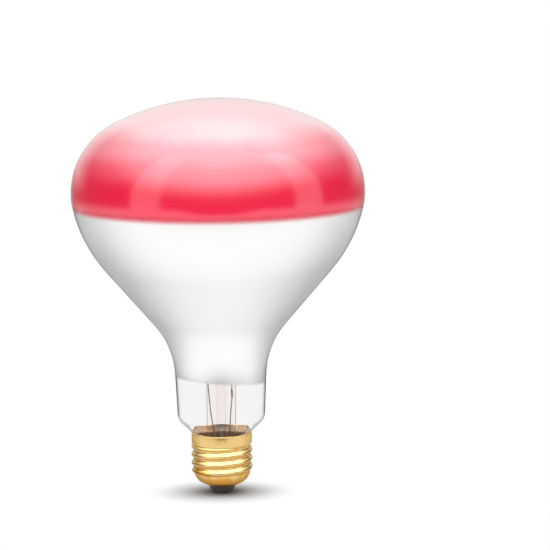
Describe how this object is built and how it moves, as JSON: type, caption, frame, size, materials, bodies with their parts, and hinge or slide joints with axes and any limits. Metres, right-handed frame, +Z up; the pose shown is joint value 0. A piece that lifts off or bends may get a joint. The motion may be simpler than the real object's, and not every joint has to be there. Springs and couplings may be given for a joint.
{
  "type": "infrared heat lamp bulb",
  "caption": "Blown reflector heat lamp with a red lacquered front, a silvered flank, a clear neck showing the glass stem and leads, and a brass screw base.",
  "frame": {"origin": "centre of the flat contact face at the tip of the screw base", "axes": "+Z up the bulb's axis towards the red front; the picture looks along +Y"},
  "size_m": [0.125, 0.125, 0.17],
  "materials": {
    "clear_glass": "clear blown glass",
    "red_lacquer": "satin red lacquer",
    "silver_film": "satin silvered film",
    "brass": "bright rolled brass",
    "black_glass": "moulded black glass",
    "contact_brass": "stamped brass",
    "solder": "tin solder",
    "cement": "fired basing cement",
    "stem_glass": "clear drawn glass",
    "seal_wire": "copper-sheathed seal wire",
    "lead_wire": "dull copper-plated wire",
    "nickel_wire": "drawn nickel wire",
    "support_wire": "molybdenum wire",
    "tungsten": "coiled tungsten"
  },
  "bodies": {
    "root": {"envelope": "clear_glass", "red_coating": "red_lacquer", "reflector_coating": "silver_film", "screw_shell": "brass", "insulator": "black_glass", "centre_contact": "contact_brass", "contact_solder": "solder", "side_solder": "solder", "cement_ring": "cement", "stem": "stem_glass", "exhaust_tube": "stem_glass", "seal_wire_left": "seal_wire", "seal_wire_right": "seal_wire", "outer_lead_side": "lead_wire", "outer_lead_centre": "lead_wire", "inner_lead_left": "nickel_wire", "inner_lead_right": "nickel_wire", "support_rod": "stem_glass", "support_wire_1": "support_wire", "support_wire_2": "support_wire", "support_wire_3": "support_wire", "support_wire_4": "support_wire", "support_wire_5": "support_wire", "filament": "tungsten"}
  },
  "joints": []
}
